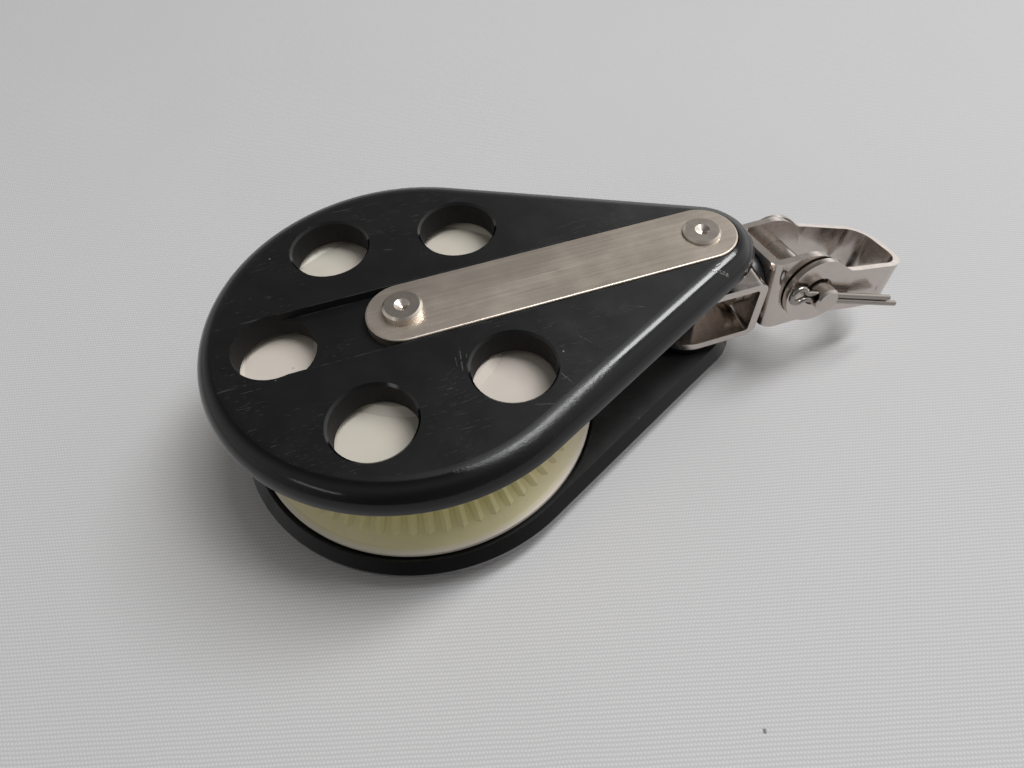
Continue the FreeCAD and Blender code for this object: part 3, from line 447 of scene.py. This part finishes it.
def woven_cloth():
    """Pale tablecloth: fine over-and-under threads with slight slubs, and a little lint."""
    g = Finish("table_cloth")
    threads = (THREADS_CLOSER / THREAD_PITCH, 1 / THREAD_PITCH, 1 / THREAD_PITCH)
    place = g.parts(g.stretched(threads, (0.0, 0.0, CLOTH_LEAN)))
    drift = g.span(g.noise(120.0, 2.0), 0.0, 1.0, -0.30, 0.30, smooth=False)
    warp = g.total(place["X"], drift)
    weft = g.math("SUBTRACT", place["Y"], drift)
    rows = g.math("COSINE", g.product(weft, 2 * math.pi))
    beads = g.product(
        g.math("COSINE", g.product(warp, 2 * math.pi)),
        g.math("COSINE", g.product(weft, math.pi)),
    )
    weave = g.total(g.product(rows, 0.5), g.product(beads, 0.5))
    slub = g.noise(1.0, 2.0, 0.5, g.stretched((90.0, 2600.0, 1.0), (0.0, 0.0, CLOTH_LEAN)))

    base = g.blend(g.noise(9.0, 3.0, 0.5), CLOTH["shade"], CLOTH["light"])
    between = g.span(weave, -1.0, 1.0, 0.70, 0.0, smooth=False)
    base = g.blend(between, base, CLOTH["between"])
    base = g.blend(g.span(slub, 0.45, 0.75, 0.0, 0.10), base, CLOTH["slub"])
    lint = g.specks(85.0, (0.040, 0.022), (0.975, 0.98))
    lint = g.most(lint, g.streak(*FIBRE, 40.0, -1.0))
    base = g.blend(g.product(lint, 0.8), base, CLOTH["lint"])

    skin = g.bump(weave, 0.02 * MM)
    skin = g.bump(g.noise(12.0, 2.0), 1.2 * MM, skin)
    g.set(Base_Color=base, Roughness=0.9, Normal=skin)
    g.shader.inputs["Specular IOR Level"].default_value = 0.15
    return g.material


def finish_nodes():
    """Gives every CAD piece its finish."""
    black = moulded_black()
    strap = brushed_steel()
    bright = bright_steel("polished_steel")
    rivet = bright_steel("rivet_steel", RIVET_RIPPLE, RIVET_WEAR)
    pin = bright_steel("pin_steel")
    wire = bright_steel("wire_steel")
    carrier = bright_steel("carrier_steel")
    spring = bright_steel("spring_steel")
    washer = dark_washer()
    bronze = warm_metal()
    cream = cream_plastic()
    finishes = {
        "cheek_upper": black, "cheek_lower": black,
        "strap_upper": strap, "strap_lower": strap,
        "axle_rivet": rivet, "head_rivet": rivet,
        "head_spacer": dull_black(), "head_bracket": bright,
        "sheave": cream, "ratchet_ring": bronze,
        "sheave_bush": bronze, "hub_cover": cream,
        "thrust_washer_upper": washer, "thrust_washer_lower": washer,
        "ratchet_carrier": carrier,
        "pawl_front": carrier, "pawl_rear": carrier,
        "pawl_pin_front": rivet, "pawl_pin_rear": rivet,
        "pawl_spring_front": spring, "pawl_spring_rear": spring,
        "swivel_post": rivet, "swivel_washer": washer,
        "swivel_fork": bright, "shackle_bow": bright,
        "shackle_pin": pin, "split_pin": wire,
    }
    for name, material in finishes.items():
        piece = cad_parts[name]
        if not piece.material_slots:
            piece.data.materials.append(material)
        for place in piece.material_slots:
            place.material = material


def lay_floor():
    """A flat tablecloth under the block."""
    mesh = bpy.data.meshes.new("table")
    work = bmesh.new()
    ways = [(-1, -1), (1, -1), (1, 1), (-1, 1)]
    corners = [work.verts.new((x * FLOOR_REACH, y * FLOOR_REACH, FLOOR_LEVEL)) for x, y in ways]
    work.faces.new(corners)
    work.to_mesh(mesh)
    work.free()
    floor = bpy.data.objects.new("table", mesh)
    bpy.context.scene.collection.objects.link(floor)
    mesh.materials.append(woven_cloth())


def light(name, direction, along, distance, length, width, watts):
    """An area lamp that looks at the block from a direction, its long side set along another."""
    lamp = bpy.data.lights.new(name, "AREA")
    lamp.shape = "RECTANGLE"
    lamp.size = length
    lamp.size_y = width
    lamp.energy = watts
    lamp.color = DAYLIGHT
    thing = bpy.data.objects.new(name, lamp)
    bpy.context.scene.collection.objects.link(thing)
    way = Vector(direction).normalized()
    side = way.cross(Vector(along)).normalized()
    turn = Matrix((side.cross(way), side, way)).transposed().to_4x4()
    thing.matrix_world = Matrix.Translation(way * distance) @ turn


def light_room():
    """A room that is bright towards +X, dim in front and darkest above and behind, and lamps."""
    world = bpy.data.worlds.new("room")
    bpy.context.scene.world = world
    g = Graph(world, "Generated")
    place = g.parts(g.coords)
    side = g.span(place["X"], -0.8, 0.9, 0.54, 1.35)
    front = g.span(place["Y"], -0.8, 0.1, 0.18, 1.0, smooth=False)
    values = {0: g.coords, 1: ROOM_DARK_WAY}
    towards = g.add("ShaderNodeVectorMath", values, operation="DOT_PRODUCT").outputs["Value"]
    ceiling = g.span(towards, 0.40, 0.88, 1.0, 0.16)
    values = {0: ROOM_TINT, "Scale": g.product(side, ceiling, front)}
    tint = g.add("ShaderNodeVectorMath", values, operation="SCALE").outputs["Vector"]
    back = g.tree.nodes["Background"]
    g.feed(back.inputs["Color"], tint)
    back.inputs["Strength"].default_value = 1.0
    for name, values in LAMPS.items():
        light(name, **values)


def set_camera():
    ahead = Vector((
        math.sin(CAMERA_TURN) * math.cos(CAMERA_DROP),
        math.cos(CAMERA_TURN) * math.cos(CAMERA_DROP),
        -math.sin(CAMERA_DROP),
    ))
    right = Vector((math.cos(CAMERA_TURN), -math.sin(CAMERA_TURN), 0.0))
    above = right.cross(ahead)
    across = right * math.cos(CAMERA_ROLL) + above * math.sin(CAMERA_ROLL)
    upward = above * math.cos(CAMERA_ROLL) - right * math.sin(CAMERA_ROLL)
    lens = bpy.data.cameras.new("camera")
    lens.sensor_fit = "HORIZONTAL"
    lens.sensor_width = SENSOR_WIDTH
    lens.lens = CAMERA_LENS
    lens.clip_start = CLIP_START
    lens.clip_end = CLIP_END
    camera = bpy.data.objects.new("camera", lens)
    bpy.context.scene.collection.objects.link(camera)
    turn = Matrix((across, upward, -ahead)).transposed().to_4x4()
    camera.matrix_world = Matrix.Translation(CAMERA_PLACE) @ turn
    bpy.context.scene.camera = camera


finish_nodes()
lay_floor()
light_room()
set_camera()
bpy.context.scene.view_settings.view_transform = "Standard"
